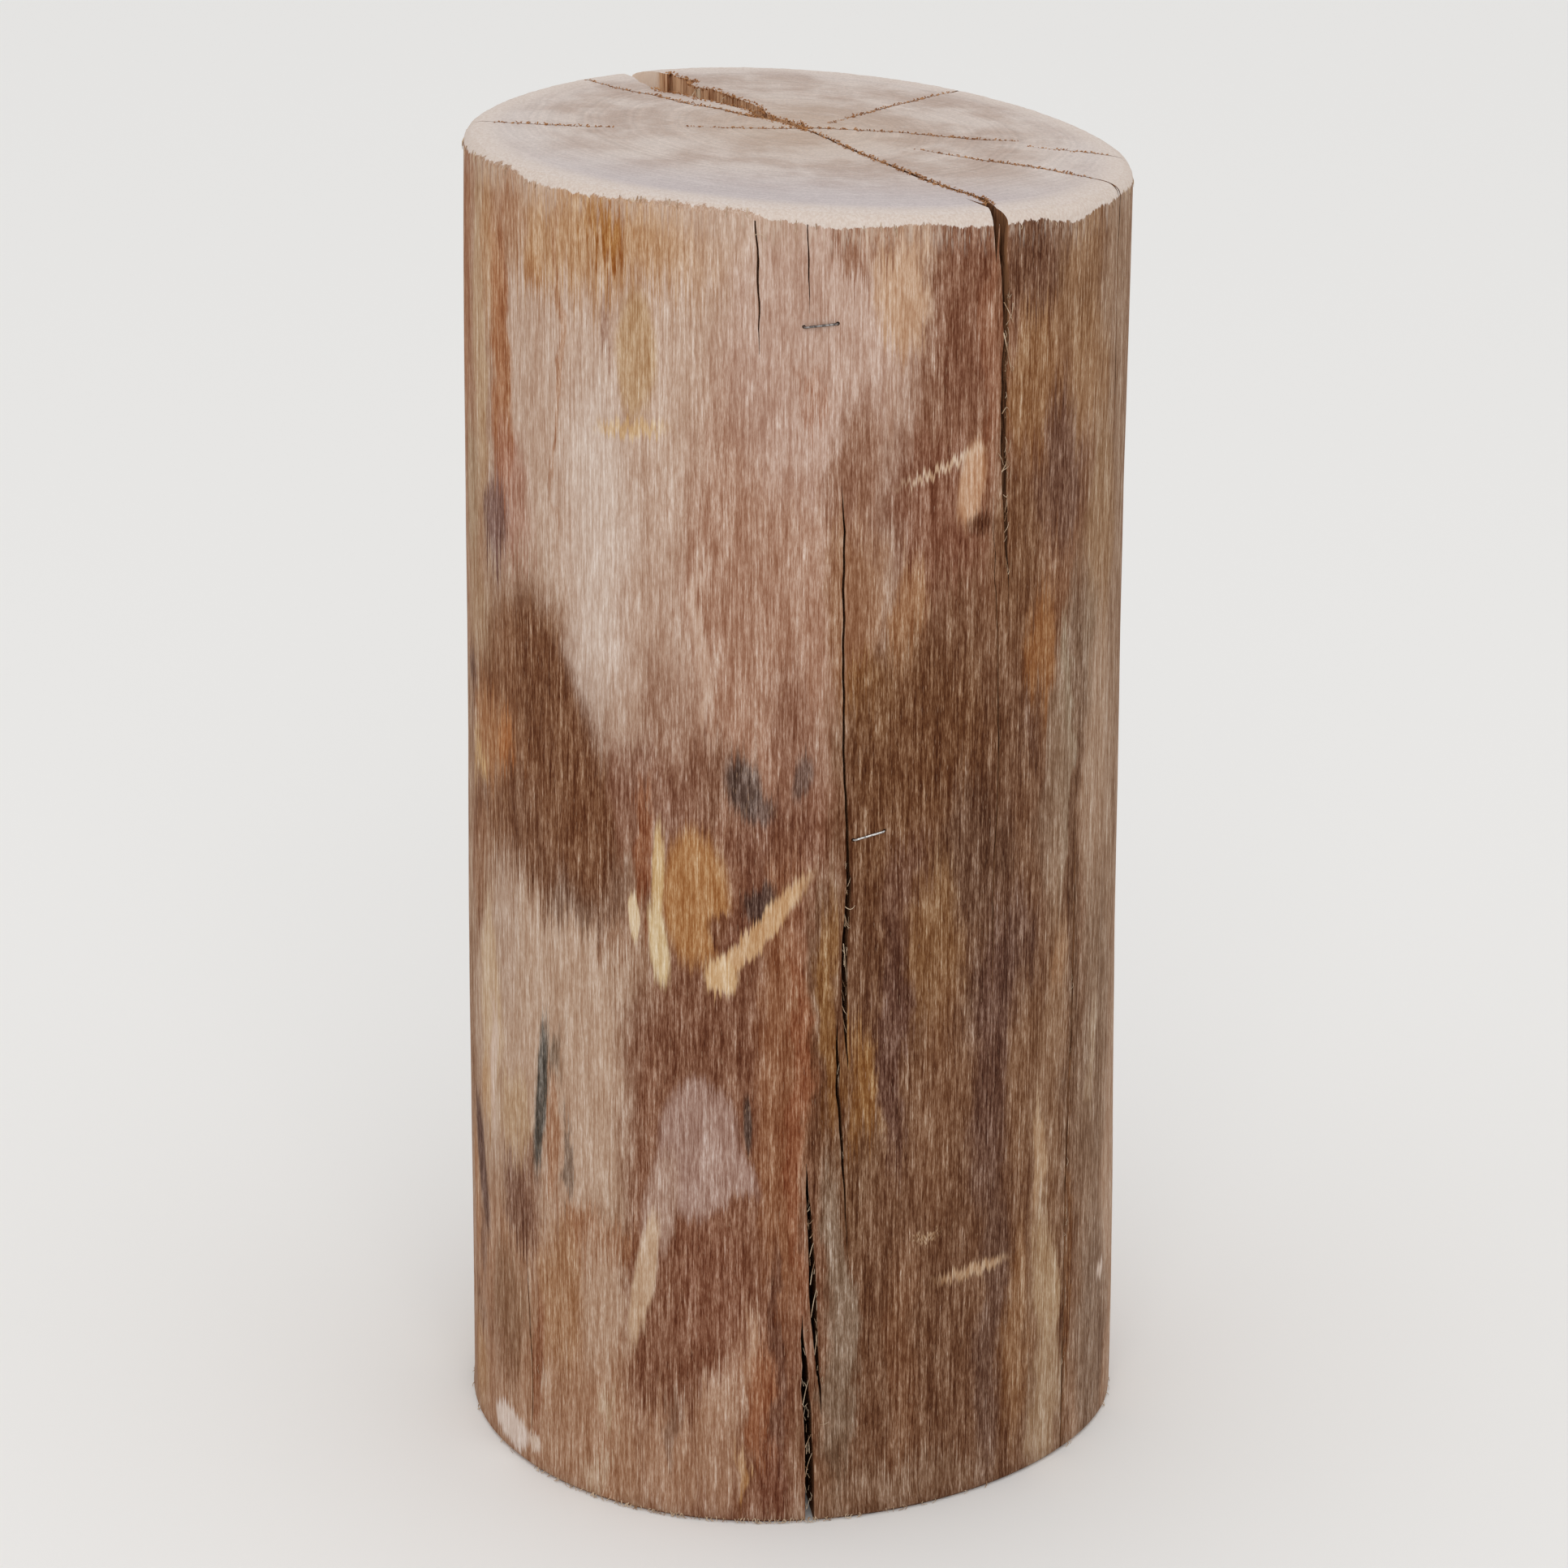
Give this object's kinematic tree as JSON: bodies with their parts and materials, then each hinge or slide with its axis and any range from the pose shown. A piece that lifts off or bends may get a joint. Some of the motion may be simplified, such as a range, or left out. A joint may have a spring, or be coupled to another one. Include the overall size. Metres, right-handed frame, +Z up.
{
  "type": "upright wood log",
  "caption": "Upright debarked log with a slanted sawn top, a worn round rim, one wide drying split, narrow cracks and small wire staples in its side.",
  "frame": {"origin": "middle of the base, on the surface the log stands on", "axes": "+Z up along the trunk; -Y is the front, the side with the staples; +X is to the right seen from the front"},
  "size_m": [0.2264, 0.2242, 0.4559],
  "materials": {
    "debarked_wood": "weathered, dry and unfinished, sawn and sanded at the top",
    "staple_steel": "zinc coated, slightly dulled"
  },
  "bodies": {
    "root": {"log": "debarked_wood", "staple_upper": "staple_steel", "staple_lower": "staple_steel"}
  },
  "joints": []
}
